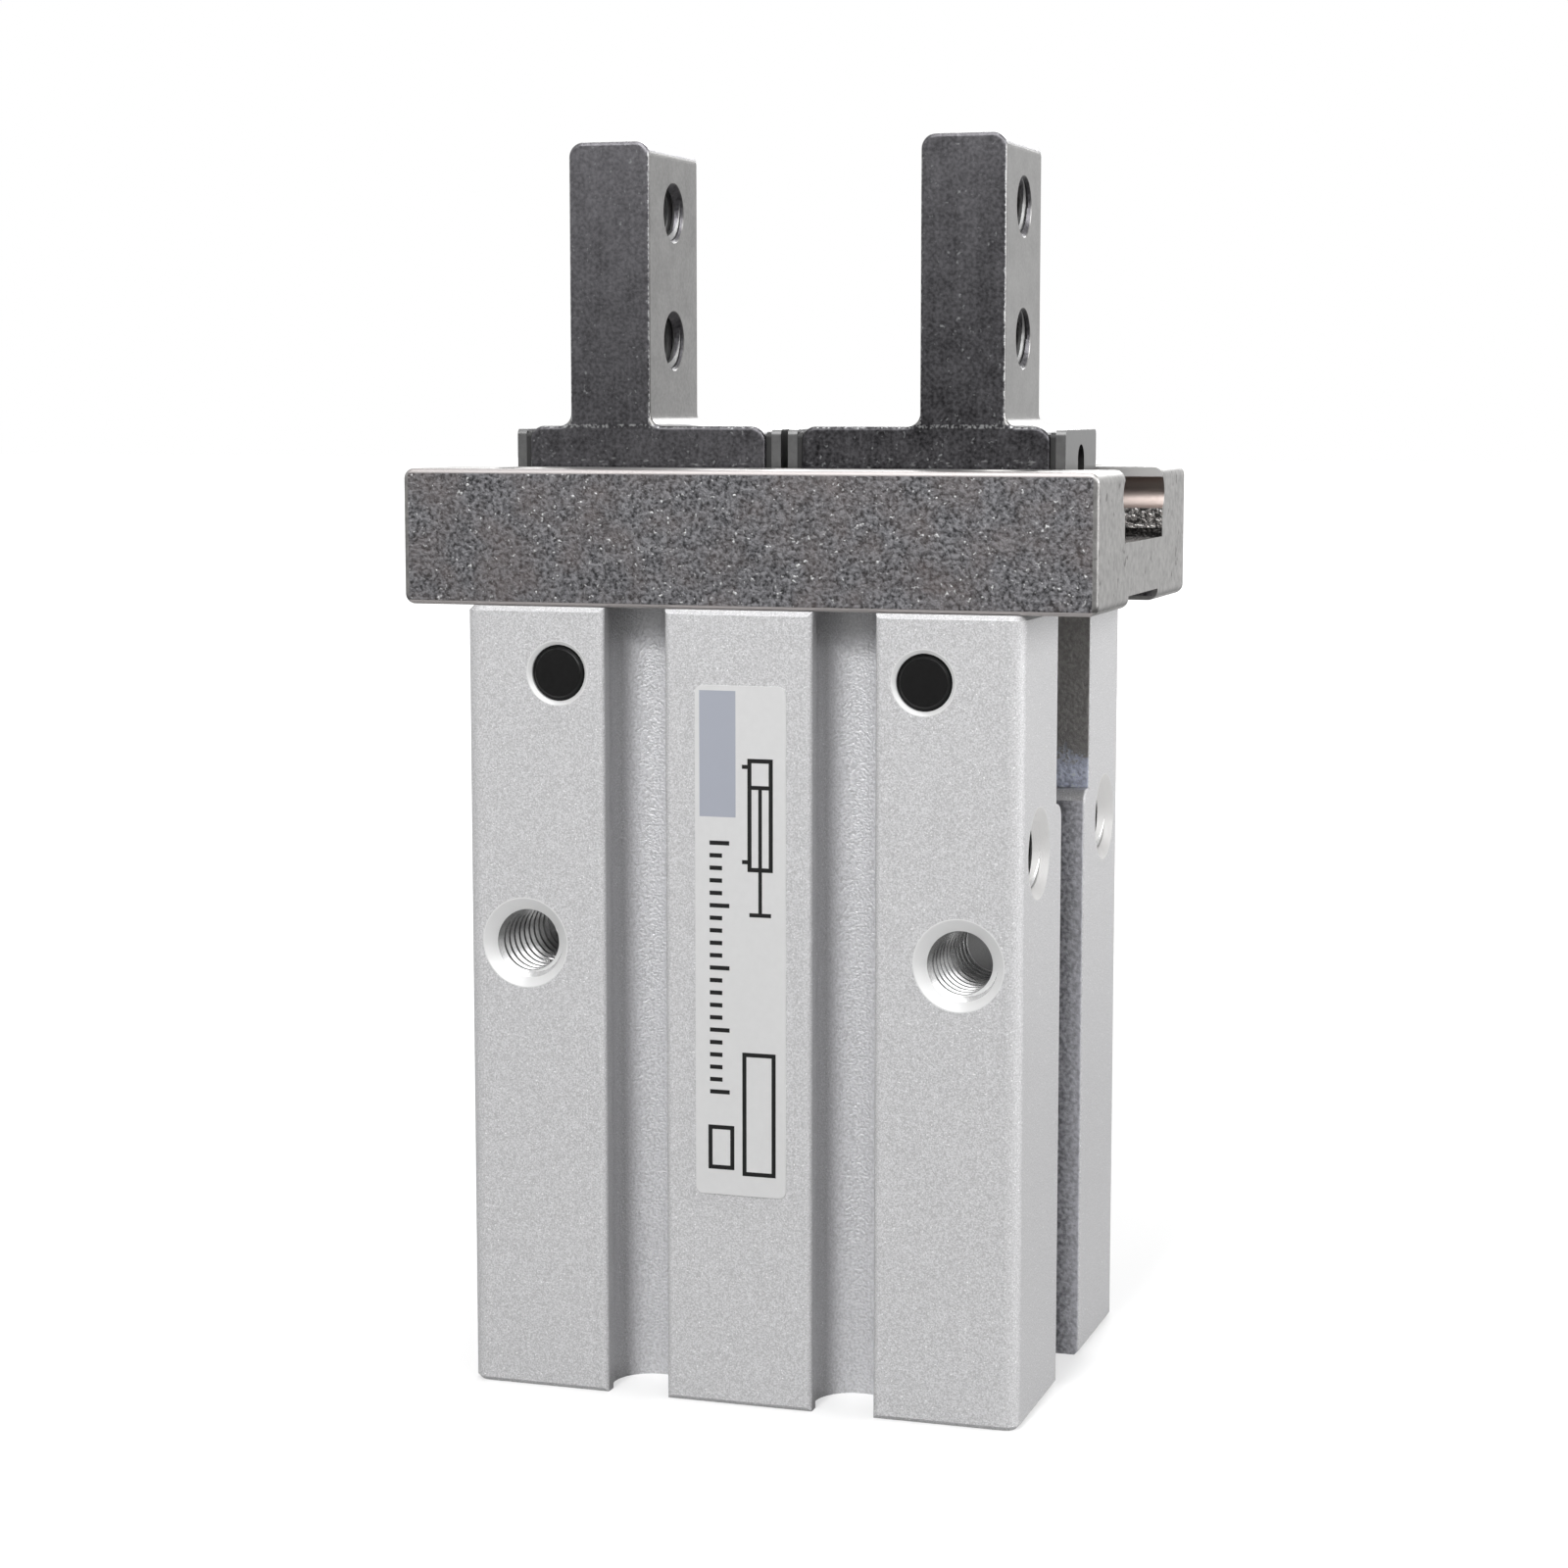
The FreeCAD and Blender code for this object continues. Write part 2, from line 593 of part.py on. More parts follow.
def make_lever(side, turn):
    body = new_body(side + "_lever", turn)
    pivot_x = "-" if side == "left" else ""
    bind(body, ".Placement.Base.x", pivot_x + "lever_shaft_pitch / 2")
    bind(body, ".Placement.Base.z", shaft_level)
    boss_width = "(lever_slot_width - 2 * lever_gap)"
    half_arm = "-lever_arm_width / 2"

    drum(body, "Additive", "boss", "lever_boss", boss_width, ("0", "-%s / 2" % boss_width, "0"), "+y")
    tilted_arms = (
        ("upper_arm", "lever_arm", "lever_rise", "-" + lever_swing,
         "-lever_arm / 2 * cos(%s)" % lever_swing, "-lever_arm / 2 * sin(%s)" % lever_swing),
        ("inner_arm", "lever_reach", "lever_arm", "-" + nose_angle,
         "-lever_reach * cos(%s) + lever_arm / 2 * sin(%s)" % (nose_angle, nose_angle),
         "-lever_reach * sin(%s) - lever_arm / 2 * cos(%s)" % (nose_angle, nose_angle)),
    )
    for name, length, height, angle, place_x, place_z in tilted_arms:
        arm = body.newObject("PartDesign::AdditiveBox", name)
        bind(arm, "Length", length)
        bind(arm, "Width", "lever_arm_width")
        bind(arm, "Height", height)
        arm.Placement = Placement(Vector(), Rotation(Vector(0, 1, 0), 1))
        bind(arm, ".Placement.Rotation.Angle", angle)
        for axis, text in zip("xyz", (place_x, half_arm, place_z)):
            bind(arm, ".Placement.Base." + axis, text)
    drum(body, "Additive", "tip", "lever_tip", "lever_arm_width",
         ("-lever_rise * sin(%s)" % lever_swing, half_arm, "lever_rise * cos(%s)" % lever_swing), "+y")
    drum(body, "Additive", "nose", "lever_nose", "lever_arm_width",
         ("-lever_reach * cos(%s)" % nose_angle, half_arm, "-lever_reach * sin(%s)" % nose_angle), "+y")
    drum(body, "Subtractive", "shaft_hole", "lever_shaft_diameter + 2 * slip_fit", boss_width,
         ("0", "-%s / 2" % boss_width, "0"), "+y")
    nodes.append(body)


def make_lever_shaft(side, turn):
    body = new_body(side + "_lever_shaft", turn)
    length = "(body_depth - 2 * shaft_recess)"
    shaft = drum(body, "Additive", "shaft", "lever_shaft_diameter", length,
                 ("lever_shaft_pitch / 2", "-%s / 2" % length, shaft_level), "+y")
    bevel_edges(body, "ends", shaft, "shaft_chamfer", lambda box: box.YLength < 0.001)
    nodes.append(body)


def make_piston():
    body = new_body("piston")
    outside = "piston_bore - 2 * running_fit"
    magnet_low = "(piston_length - piston_land - piston_magnet_width)"
    stack = (
        ("lower_land", outside, "0", "piston_land"),
        ("seal_groove", outside + " - 2 * piston_seal_depth", "piston_land", "piston_seal_width"),
        ("middle_land", outside, "piston_land + piston_seal_width",
         "%s - piston_land - piston_seal_width" % magnet_low),
        ("magnet_groove", outside + " - 2 * piston_magnet_depth", magnet_low, "piston_magnet_width"),
        ("upper_land", outside, "piston_length - piston_land", "piston_land"),
        ("rod", "rod_diameter", "piston_length", "%s - %s - piston_length" % (rod_top, piston_low)),
    )
    for name, diameter, start, length in stack:
        drum(body, "Additive", name, diameter, length, ("0", "0", "%s + %s" % (piston_low, start)))
    z_span = ("%s - %s" % (nose_height, nose_room), "%s + %s" % (nose_height, nose_room))
    notches = {"right": ("rod_web / 2", "rod_diameter / 2"), "left": ("-rod_diameter / 2", "-rod_web / 2")}
    for side, x_span in notches.items():
        block(body, "Subtractive", side + "_notch", x_span, across("rod_diameter"), z_span)
    nodes.append(body)


def make_ring(label, outside, inside, height, low):
    body = new_body(label)
    drum(body, "Additive", "outside", outside, height, ("0", "0", low))
    drum(body, "Subtractive", "inside", inside, height, ("0", "0", low))
    nodes.append(body)
    return body


def make_rings():
    groove = "(piston_bore - 2 * running_fit)"
    make_ring("piston_seal", "piston_bore - 2 * slip_fit", groove + " - 2 * piston_seal_depth",
              "piston_seal_width", "%s + piston_land" % piston_low)
    make_ring("piston_magnet", groove, groove + " - 2 * piston_magnet_depth", "piston_magnet_width",
              "%s + piston_length - piston_land - piston_magnet_width" % piston_low)
    make_ring("piston_bumper", "piston_bumper_diameter", "rod_diameter", "piston_bumper_height",
              "%s + piston_length" % piston_low)
    make_ring("rod_seal", "rod_seal_diameter", "rod_diameter + 2 * slip_fit", "rod_seal_height",
              "piston_bore_top + seal_retainer_height")
    make_ring("seal_retainer", "rod_seal_diameter", "rod_diameter + 2 * running_fit", "seal_retainer_height",
              "piston_bore_top")
    make_ring("cap_bumper", "cap_bumper_diameter", "cap_bumper_hole", "cap_bumper_height", "cap_bore_depth")

    ring = make_ring("snap_ring", "cap_bore + 2 * snap_ring_bite", "cap_bore - 2 * snap_ring_width",
                     "snap_ring_thickness", "pilot_depth")
    block(ring, "Subtractive", "gap", ("0", "cap_bore"), across("snap_ring_gap"), ("pilot_depth", cap_low))

    oring = new_body("cap_oring")
    loop = oring.newObject("PartDesign::AdditiveTorus", "loop")
    bind(loop, "Radius1", "cap_bore / 2 - cap_oring_section / 2")
    bind(loop, "Radius2", "cap_oring_section / 2")
    put(loop, ("0", "0", "(%s + cap_bore_depth) / 2" % cap_low))
    nodes.append(oring)


def make_cap():
    body = new_body("cap")
    drum(body, "Additive", "core", "cap_bore - 2 * cap_oring_section", "cap_bore_depth - %s" % cap_low,
         ("0", "0", cap_low))
    flange = "((cap_bore_depth - %s - cap_oring_section) / 2)" % cap_low
    for name, low in (("lower_flange", cap_low), ("upper_flange", "cap_bore_depth - " + flange)):
        drum(body, "Additive", name, "cap_bore - 2 * slip_fit", flange, ("0", "0", low))
    nodes.append(body)


def make_label():
    body = new_body("label")
    plate = block(body, "Additive", "plate",
                  ("label_offset - label_width / 2", "label_offset + label_width / 2"),
                  ("-body_depth / 2 - label_thickness", "-body_depth / 2"),
                  ("label_low", "label_low + label_height"))
    round_edges(body, "corners", plate, "label_corner", lambda box: runs_along(box, "y"))
    nodes.append(body)


def check_and_write():
    doc.recompute()
    for item in doc.Objects:
        if "Invalid" in item.State or "Error" in item.State:
            raise RuntimeError("%s did not build: %s" % (item.Name, item.State))
    for node in nodes:
        if node.Shape.isNull() or not node.Shape.isValid():
            raise RuntimeError("%s has no valid shape" % node.Label)
    os.makedirs("parts", exist_ok=True)
    for node in nodes:
        node.Shape.exportStep("parts/%s.step" % node.Label)
        print("%-20s %9.3f mm3" % (node.Label, node.Shape.Volume))


make_body()
make_guide()
make_guide_fasteners()
for side, turn in sides.items():
    make_finger(side, turn)
    make_end_plates(side, turn)
    make_balls(side, turn)
    make_lever(side, turn)
    make_lever_shaft(side, turn)
make_piston()
make_rings()
make_cap()
make_label()
check_and_write()
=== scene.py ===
import json
from math import cos, radians, sin, tau

import bpy
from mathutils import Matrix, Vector


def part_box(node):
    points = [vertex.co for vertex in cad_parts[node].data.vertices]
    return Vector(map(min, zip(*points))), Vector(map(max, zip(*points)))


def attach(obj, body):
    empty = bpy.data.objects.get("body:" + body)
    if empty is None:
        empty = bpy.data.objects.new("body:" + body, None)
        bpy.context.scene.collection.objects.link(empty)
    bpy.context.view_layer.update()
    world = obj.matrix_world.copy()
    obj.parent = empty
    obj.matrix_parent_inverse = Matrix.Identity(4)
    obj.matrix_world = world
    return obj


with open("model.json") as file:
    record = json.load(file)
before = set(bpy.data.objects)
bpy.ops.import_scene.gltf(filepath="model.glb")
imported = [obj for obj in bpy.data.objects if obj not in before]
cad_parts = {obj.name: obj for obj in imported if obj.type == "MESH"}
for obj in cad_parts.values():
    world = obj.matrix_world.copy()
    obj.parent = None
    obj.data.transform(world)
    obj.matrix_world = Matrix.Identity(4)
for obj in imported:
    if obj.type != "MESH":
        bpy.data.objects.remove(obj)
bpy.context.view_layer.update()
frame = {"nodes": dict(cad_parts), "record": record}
nodes = frame["nodes"]
mounts = {mount["name"]: mount for mount in frame["record"]["mounts"]}
millimetre = 0.001
print("frame loaded:", len(nodes), "nodes")


# Shader maths: a wire is a socket, and sums of wires become Math nodes
class Wire:
    def __init__(self, sheet, socket):
        self.sheet = sheet
        self.socket = socket

    def maths(self, operation, first, second=0.0):
        return self.sheet.node("ShaderNodeMath", {"operation": operation}, {0: first, 1: second})

    def __add__(self, other):
        return self.maths("ADD", self, other)

    def __radd__(self, other):
        return self.maths("ADD", other, self)

    def __sub__(self, other):
        return self.maths("SUBTRACT", self, other)

    def __rsub__(self, other):
        return self.maths("SUBTRACT", other, self)

    def __mul__(self, other):
        return self.maths("MULTIPLY", self, other)

    def __rmul__(self, other):
        return self.maths("MULTIPLY", other, self)

    def __lt__(self, other):
        return self.maths("LESS_THAN", self, other)

    def __gt__(self, other):
        return self.maths("GREATER_THAN", self, other)

    def __or__(self, other):
        return self.maths("MAXIMUM", self, other)

    def __abs__(self):
        return self.maths("ABSOLUTE", self)

    def __pow__(self, other):
        return self.maths("POWER", self, other)


class NodeSheet:
    def __init__(self, tree):
        self.tree = tree

    def node(self, kind, settings, sockets, result=0):
        made = self.tree.nodes.new(kind)
        for name, value in settings.items():
            setattr(made, name, value)
        for name, value in sockets.items():
            self.feed(made.inputs[name], value)
        return Wire(self, made.outputs[result])

    def feed(self, socket, value):
        if isinstance(value, Wire):
            self.tree.links.new(value.socket, socket)
        else:
            socket.default_value = value

    def axes(self, vector):
        parts = self.node("ShaderNodeSeparateXYZ", {}, {0: vector})
        return [Wire(self, socket) for socket in parts.socket.node.outputs]

    def millimetres(self):
        return [axis * (1 / millimetre) for axis in self.axes(self.place)]

    def noise(self, scale, detail, stretch=(1, 1, 1)):
        place = self.node("ShaderNodeMapping", {}, {"Vector": self.place, "Scale": stretch})
        return self.node("ShaderNodeTexNoise", {}, {"Vector": place, "Scale": scale, "Detail": detail})

    def spread(self, value, low, high, lowOut=0.0, highOut=1.0):
        sockets = {"Value": value, "From Min": low, "From Max": high, "To Min": lowOut, "To Max": highOut}
        return self.node("ShaderNodeMapRange", {}, sockets)

    def speckle(self, scale, detail, low, high, stretch=(1, 1, 1)):  # noise with more contrast
        return self.spread(self.noise(scale, detail, stretch), low, high)

    def mix(self, mask, first, second):
        return self.node("ShaderNodeMix", {"data_type": "RGBA"}, {0: mask, 6: first, 7: second}, 2)

    def twoTone(self, mask, tones, red=1.0, blue=1.0):
        dark, light = tones
        return self.mix(mask, tint(dark, red, blue), tint(light, red, blue))

    def bump(self, height, depth):
        sockets = {"Strength": 1.0, "Distance": depth * millimetre, "Height": height}
        self.feed(self.shader.inputs["Normal"], self.node("ShaderNodeBump", {}, sockets))

    def paint(self, **sockets):
        for name, value in sockets.items():
            self.feed(self.shader.inputs[name.replace("_", " ")], value)


def tint(level, red=1.0, blue=1.0):  # red and blue as shares of the level
    return (level * red, level, level * blue, 1.0)


def weigh(shares, **parts):
    total = shares["base"]
    for name, part in parts.items():
        total = total + shares[name] * part
    return total


def newFinish(name, **constants):
    material = bpy.data.materials.new(name)
    material.use_nodes = True
    sheet = NodeSheet(material.node_tree)
    sheet.material = material
    sheet.shader = material.node_tree.nodes["Principled BSDF"]
    sheet.place = sheet.node("ShaderNodeTexCoord", {}, {}, "Object")
    sheet.paint(**constants)
    return sheet


def coat(material, *names):
    for name in names:
        slots = nodes[name].data.materials
        slots.clear()
        slots.append(material)


# In the finishes, places and depths are in millimetres, a tone is a level with its shares of red and blue,
# and a speckle is a noise's scale and detail, then the values of it that become 0 and 1

# Silver anodised aluminium: a blasted, finely sparkling skin, duller milled slots that are also darker as
# painted shade, a painted pool of light low in the lever slot, sensor slots darkened as painted shade with a
# painted highlight on their floors that fades into a painted shadow under the guide, and holes with pale
# mouths and sides darkened past the mouths as painted shade
aluminium = {
    "skin": {"tones": (0.44, 0.67), "tint": (1.003, 1.015), "metal": 0.35, "depth": 0.005,
             "grain": (13000, 2, 0.34, 0.68), "coarse": (4200, 4, 0.35, 0.65), "cloud": (90, 2)},
    "sparkle": {"speckle": (9000, 1, 0.68, 0.76), "share": 0.7, "tone": 0.98},
    # The side and lever slots are milled, and their tones are darker than the skin also as painted shade; the
    # side slot's shade ramp darkens it further towards its floor
    "sideSlot": {"half": 2.83, "floor": 13.25, "tones": (0.16, 0.66), "tint": (1.0, 1.06),
                 "coarse": 0.5, "shade": (14.0, 15.3, -0.1, 0.75)},
    "leverSlot": {"half": 4.02, "floor": 32.0, "margin": 0.02, "tones": (0.24, 0.33), "tint": (1.04, 0.96)},
    # painted light: a lighter, bluer band low on the lever slot's sides, up to a ragged edge, and smoother
    # there
    "grease": {"top": 33.9, "fade": 0.8, "ragged": 1.2, "tones": (0.52, 1.0), "tint": (0.95, 1.18)},
    # Sensor slots: darkened all over as painted shade, with a glittering painted highlight on a band of their
    # floors that fades near the guide into a painted shadow
    "sensorSlot": {"middle": 5.75, "half": 2.1, "front": 11.5, "paintedShadeTone": 0.30, "paintedShadeShare": 0.25,
                   "floor": (8.75, 7.95), "top": (41.3, 40.6, 0.35, 1.0), "glitter": (7000, 2, 0.35, 0.65),
                   "paintedDim": (0.76, 1.0, 1.02), "bright": (1.0, 1.0, 1.03), "metal": 0.3},
    "holes": {"front": (12.0, 24.45), "side": (8.0, 29.95), "base": (11.0, 8.0), "shaft": (10.05, 39.0),
              "mouth": 2.45, "wall": 2.03, "shaftMouth": 1.74,  # radii
              "frontFace": 11.0, "sideFace": 14.5, "baseFace": 0.8,  # the mouths are outside these
              "sideEnd": 9, "baseEnd": 9, "threadEnd": 2.9},
    # the two dark tones of the holes' sides past their mouths are painted shade
    "holeTones": {"mouth": 0.68, "sideMouth": (0.62, 1.01, 0.99), "paintedShadeWalls": (0.05, 0.12), "metalLoss": 0.7},
    "rough": {"base": 0.42, "grain": 0.12, "cloud": 0.06, "grease": -0.12, "mouths": -0.16, "sensor": -0.10},
    "relief": {"glitter": 3.0, "milled": 4.0},
}


def blastedAluminium():
    finish = newFinish("blasted_aluminium")
    x, y, z = [abs(axis) for axis in finish.millimetres()]
    look, sparkle, holes, holeTones = [aluminium[part] for part in ("skin", "sparkle", "holes", "holeTones")]
    slots = ("sideSlot", "leverSlot", "grease", "sensorSlot")
    side, lever, grease, sensor = [aluminium[slot] for slot in slots]
    grain = finish.speckle(*look["grain"])
    coarse = finish.speckle(*look["coarse"])
    cloud = finish.noise(*look["cloud"])
    glitter = finish.speckle(*sensor["glitter"])

    def around(first, second, hole, radius):
        middle, level = holes[hole]
        return (first - middle) ** 2 + (second - level) ** 2 < holes[radius] ** 2

    inSide = (y < side["half"]) * (x > side["floor"]) * (z < lever["floor"])
    inLever = (y < lever["half"]) * (z > lever["floor"] - lever["margin"])
    inSensor = (abs(x - sensor["middle"]) < sensor["half"]) * (y < sensor["front"])
    milled = inSide | inLever
    # painted light low in the lever slot, up to a ragged edge
    ragged = z + grease["ragged"] * coarse
    greased = inLever * finish.spread(ragged, grease["top"] + grease["fade"], grease["top"])
    onFront, onSide, onBase = y > holes["frontFace"], x > holes["sideFace"], z < holes["baseFace"]
    mouths = around(x, z, "front", "mouth") * onFront | around(x, y, "base", "mouth") * onBase
    mouths = mouths | around(x, z, "shaft", "shaftMouth") * onFront
    sideMouths = around(y, z, "side", "mouth") * onSide
    # painted shade: the holes' sides inside the body, past their mouths and outside the milled slots, are
    # darkened
    paintedShadeWalls = around(x, z, "front", "wall") * (1 - onFront)
    paintedShadeWalls = paintedShadeWalls | around(x, y, "base", "wall") * (1 - onBase) * (z < holes["baseEnd"])
    paintedShadeWalls = paintedShadeWalls | around(y, z, "side", "wall") * (1 - onSide) * (x > holes["sideEnd"])

    skin = finish.twoTone(grain, look["tones"], *look["tint"])
    skin = finish.mix(sparkle["share"] * finish.speckle(*sparkle["speckle"]), skin, tint(sparkle["tone"]))
    # painted shade darkens the sensor slots; a painted highlight then lights a band of their floors and fades
    # near the guide as a painted shadow
    skin = finish.mix(sensor["paintedShadeShare"] * inSensor, skin, tint(sensor["paintedShadeTone"]))
    paintedHighlight = inSensor * finish.spread(y, *sensor["floor"]) * finish.spread(z, *sensor["top"])
    skin = finish.mix(paintedHighlight, skin, finish.mix(glitter, tint(*sensor["paintedDim"]), tint(*sensor["bright"])))
    # painted shade: the side slot darkens towards its floor, with its mottle
    mottleAndPaintedShade = side["coarse"] * coarse + finish.spread(x, *side["shade"])
    sideTone = finish.twoTone(mottleAndPaintedShade, side["tones"], *side["tint"])
    leverTone = finish.twoTone(coarse, lever["tones"], *lever["tint"])
    greaseTone = finish.twoTone(coarse, grease["tones"], *grease["tint"])
    onFloor = z < lever["floor"] + lever["margin"]
    tone = finish.mix(inLever, finish.mix(inSide, skin, sideTone), leverTone)
    # painted light lightens the lever slot's lower sides; its floor takes the side slot's tone instead
    tone = finish.mix(greased, tone, finish.mix(onFloor, greaseTone, sideTone))
    tone = finish.mix(mouths, tone, tint(holeTones["mouth"]))
    tone = finish.mix(sideMouths, tone, tint(*holeTones["sideMouth"]))
    paintedShadeTone = finish.twoTone(y < holes["threadEnd"], holeTones["paintedShadeWalls"])
    loss = holeTones["metalLoss"]
    metal = look["metal"] * (1 - loss * mouths) * (1 - loss * sideMouths) + sensor["metal"] * inSensor
    finish.paint(Base_Color=finish.mix(paintedShadeWalls * (1 - milled), tone, paintedShadeTone),
                 Metallic=metal,
                 Roughness=weigh(aluminium["rough"], grain=grain, cloud=cloud, grease=greased, mouths=mouths,
                                 sensor=inSensor))
    relief = aluminium["relief"]
    height = grain + relief["glitter"] * inSensor * glitter + relief["milled"] * milled * coarse
    finish.bump(height * (1 - mouths), look["depth"])
    return finish.material


# Bare metal as the tap leaves it, in aluminium and in steel
tapped = {
    "cut_aluminium": {"tones": (0.44, 0.62), "rough": {"base": 0.20, "streak": 0.08}},
    "tapped_steel": {"tones": (0.26, 0.36), "rough": {"base": 0.42, "streak": 0.08}},
    "metal": 0.9, "streak": (3000, 2),
}


def tappedMetal(name):
    look = tapped[name]
    finish = newFinish(name, Metallic=tapped["metal"])
    streak = finish.noise(*tapped["streak"])
    finish.paint(Base_Color=finish.twoTone(streak, look["tones"]),
                 Roughness=weigh(look["rough"], streak=streak))
    return finish.material


# Coarse grey steel of the guide: speckled along its length, ground on its ends, polished in its raceways,
# with a painted highlight on its rounded front edges and on the lip above its raceways, and painted shade low
# in its channel
guideSteel = {
    "grains": {"tones": (0.065, 0.355), "tint": (1.01, 1.05), "contrast": (0.395, 0.60),
               "noises": [(0.55, 5200, 6), (0.2, 9880, 4), (0.25, 2800, 3)]},  # share, scale, detail
    "spark": (4160, 1, 0.68, 0.80), "sparkTone": 0.85,
    "patch": (420, 3, 0.42, 0.72), "patchShare": 0.5, "rust": (0.255, 0.215, 0.205, 1.0),
    "mottle": (2600, 4, 0.3, 0.7), "strokes": (3500, 3, 0.3, 0.7, (0.04, 1, 1)), "strokeShare": 0.5,
    "faced": (0.245, 0.385), "flat": (0.235, 0.375), "warm": (1.02, 0.98),
    # rounded: the ground tone made lighter and pinker on the rounded front edges as a painted highlight
    "rounded": (0.39, 0.365, 0.36, 1.0), "pit": (1400, 1, 0.25, 0.33), "pitTone": (0.11, 1.05, 0.95),
    "crystals": (3200, 3, 0.4, 0.6), "milled": (0.16, 0.90), "polished": (0.32, 0.27, 0.25, 1.0),
    # relief: a dark band low on the channel's sides, painted shade standing in for a relief groove; lip: a
    # painted highlight on the channel's sides above the raceways
    "relief": (0.07, 1.03, 0.97), "shadeStripTop": 46.4, "lip": (0.75, 1.01, 0.99),
    "endFace": 18.70, "topEdge": 49.50, "lowEdge": 42.72, "sideEdge": 11.1,
    "channelHalf": 5.02, "channelFloor": 45.9, "channelEnd": 18.98,
    "racewayY": 4.5, "racewayZ": 48.35, "racewayRadius": 1.0,
    "metalLoss": 0.6, "rough": {"base": 0.40, "speck": 0.08, "below": -0.2, "raceway": -0.06},
    "smoothed": 0.9, "crystalRelief": 2.0, "depth": 0.010,
}


def speckledSteel():
    finish = newFinish("speckled_steel")
    x, y, z = [abs(axis) for axis in finish.millimetres()]
    end, low = x > guideSteel["endFace"], z < guideSteel["lowEdge"]
    withinEnds, aboveRow = x < guideSteel["channelEnd"], z > guideSteel["racewayZ"]
    inChannel = (y < guideSteel["channelHalf"]) * (z > guideSteel["channelFloor"]) * withinEnds
    fromRow = (y - guideSteel["racewayY"]) ** 2 + (z - guideSteel["racewayZ"]) ** 2
    raceway = (fromRow < guideSteel["racewayRadius"] ** 2) * withinEnds
    below = inChannel * (z < guideSteel["racewayZ"]) * (1 - raceway)
    ground = end | low | (z > guideSteel["topEdge"]) | inChannel

    grains = guideSteel["grains"]
    fine, finer, clumps = [share * finish.noise(scale, detail) for share, scale, detail in grains["noises"]]
    speck = finish.spread(fine + finer + clumps, *grains["contrast"])
    kinds = ("spark", "patch", "pit", "mottle", "crystals", "strokes")
    spark, patch, pit, mottle, crystals, strokes = [finish.speckle(*guideSteel[kind]) for kind in kinds]

    rough = finish.twoTone(speck, grains["tones"], *grains["tint"])
    rusty = finish.mix(guideSteel["patchShare"] * patch, rough, guideSteel["rust"])
    front = finish.mix(spark, rusty, tint(guideSteel["sparkTone"]))
    share, warm = guideSteel["strokeShare"], guideSteel["warm"]
    faced = finish.twoTone(mottle, guideSteel["faced"], *warm)
    flat = finish.twoTone(share * strokes + (1 - share) * mottle, guideSteel["flat"], *warm)
    # the rounded front edges get a painted highlight on their ground tone
    onRound = (y > guideSteel["sideEdge"]) * (1 - end)
    worked = finish.mix(onRound, finish.mix(end, flat, faced), guideSteel["rounded"])
    worked = finish.mix(end * (1 - pit), worked, tint(*guideSteel["pitTone"]))
    inside = finish.twoTone(crystals, guideSteel["milled"], *warm)
    # painted shade: a dark band low on the channel's sides
    inside = finish.mix(z < guideSteel["shadeStripTop"], inside, tint(*guideSteel["relief"]))
    tone = finish.mix(below, finish.mix(ground, front, worked), inside)
    # painted highlight on the channel's sides above the raceways
    tone = finish.mix(inChannel * aboveRow, tone, tint(*guideSteel["lip"]))
    finish.paint(Base_Color=finish.mix(raceway, tone, guideSteel["polished"]),
                 Metallic=1 - guideSteel["metalLoss"] * low,
                 Roughness=weigh(guideSteel["rough"], speck=speck * (1 - ground), below=below,
                                 raceway=raceway))
    height = (speck + spark) * (1 - guideSteel["smoothed"] * ground) * (1 - raceway)
    finish.bump(height + guideSteel["crystalRelief"] * crystals * below, guideSteel["depth"])
    return finish.material


# Dark ground steel of the fingers: faintly drawn along their height, lighter towards the top and on the left
# finger as painted reflection, bright at the edges from wear and a painted highlight
fingerSteel = {
    # the ramp up their height and the lift of the left finger are painted reflection in the fronts' tone
    "tones": (0.018, 0.178), "tint": (1.025, 1.07), "paintedDim": (50, 68, -0.09, 0.31), "paintedLightLeft": 0.19,
    "grain": (5200, 3, 0.34, 0.66), "drawn": (3200, 2, 0.3, 0.7, (1, 1, 0.04)), "cloud": (700, 4, 0.3, 0.7),
    "grainShare": 0.34, "drawnShare": 0.14, "cloudShare": 0.22,
    "spark": (3640, 1, 0.70, 0.82), "sparkTone": (0.30, 0.98, 1.02),
    # the tone of scuffs at the foot, and of the rims, which is wear and a painted highlight
    "scuff": (4500, 2, 0.60, 0.76, (0.35, 1, 1)), "nick": (5200, 2, 0.48, 0.62), "wearAndEdgeHighlight": (0.34, 0.99, 1.01),
    "flank": (0.17, 0.265), "flankTint": (1.015, 0.985), "flankGrain": 0.5, "flankEdge": 0.04,
    "inner": 7.62, "outer": 12.28, "footTop": 51.97, "footLow": 50.3, "edge": 0.10, "half": 4.0,
    "rough": {"base": 0.30, "grain": 0.10},
    "grainRelief": 0.7, "drawnRelief": 0.4, "flankSmoothed": 0.75, "depth": 0.004,
}


